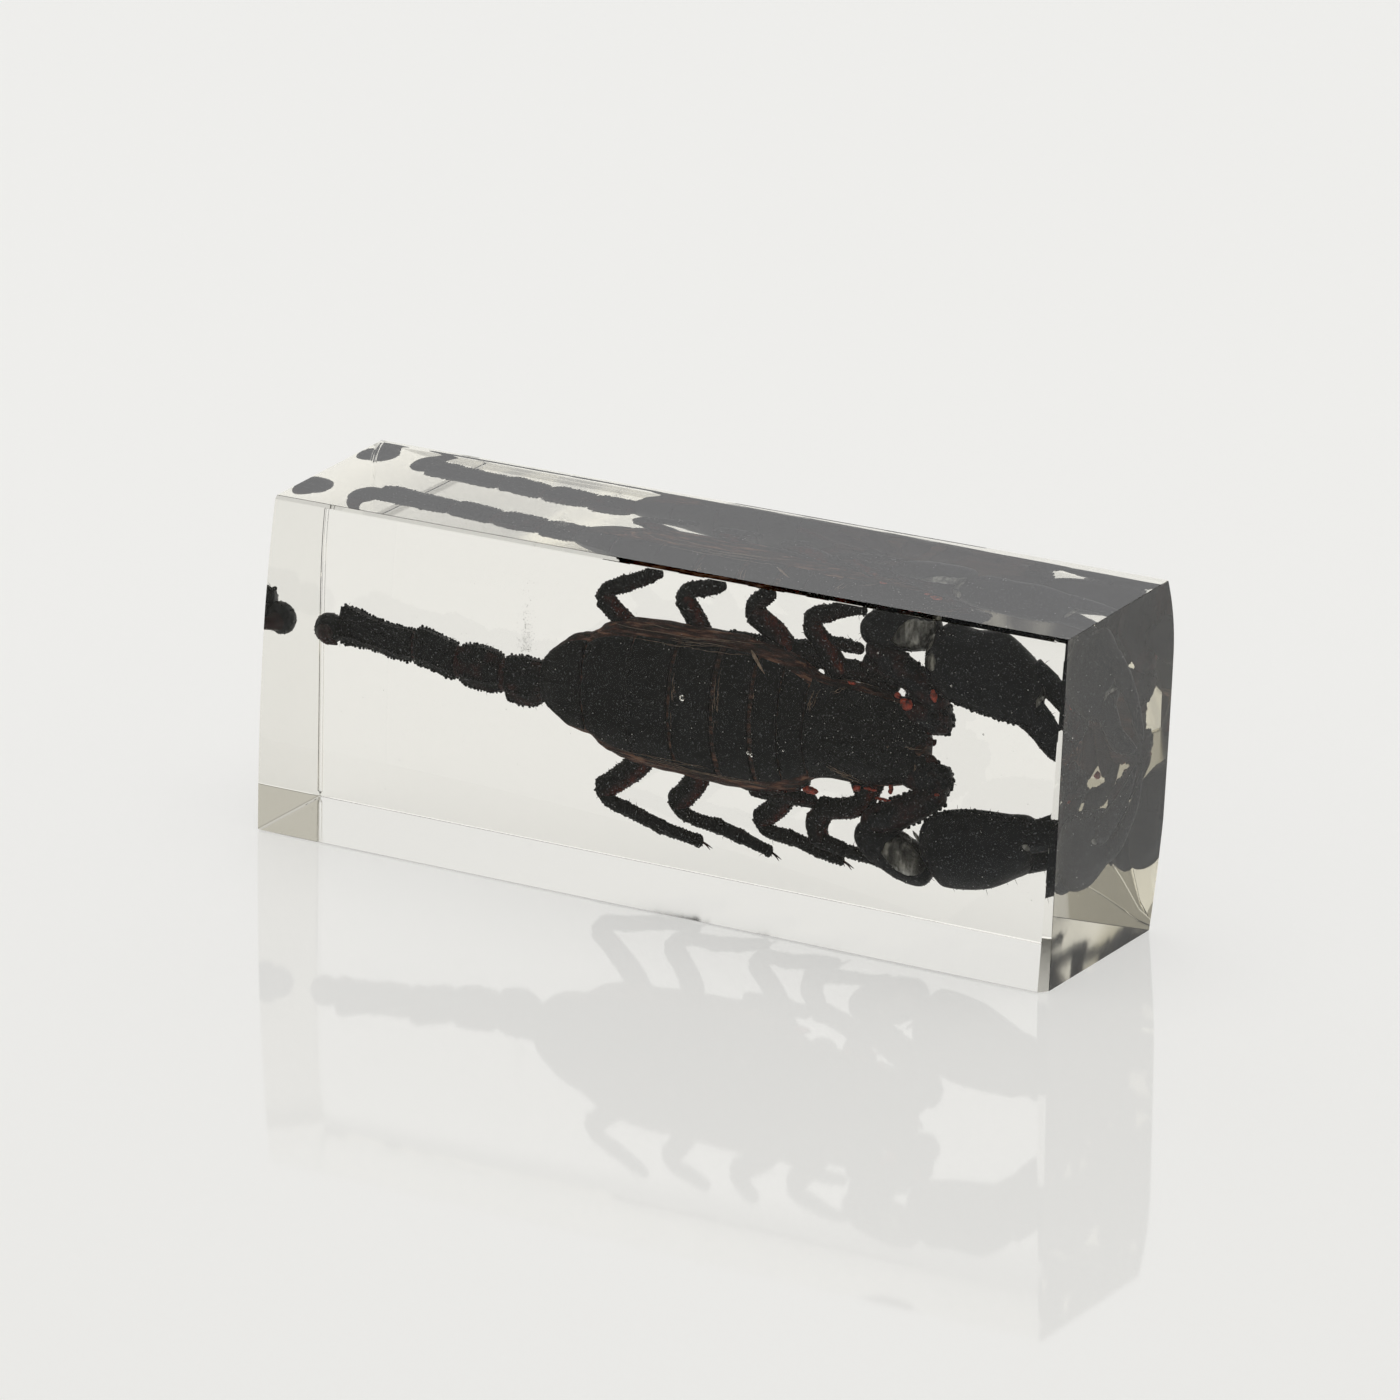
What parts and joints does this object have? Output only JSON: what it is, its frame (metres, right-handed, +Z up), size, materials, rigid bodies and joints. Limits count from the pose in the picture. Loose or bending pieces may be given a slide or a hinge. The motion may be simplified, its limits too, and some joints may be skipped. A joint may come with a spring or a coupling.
{
  "type": "insect in resin block",
  "caption": "Dried scorpion sealed in a clear resin block that stands on its long narrow side, for display.",
  "frame": {"origin": "centre of the block's bounding box, at its base", "axes": "+X along the block towards the scorpion's claws, +Y from the flat front face through the thickness to the back face, which is rounded off a little along its top and base, +Z up from the long narrow side the block stands on"},
  "size_m": [0.111, 0.029, 0.0444],
  "materials": {
    "clear_resin": "polished",
    "scorpion_shell": "satin"
  },
  "bodies": {
    "root": {"resin_front": "clear_resin", "resin_back": "clear_resin", "scorpion": "scorpion_shell"}
  },
  "joints": []
}
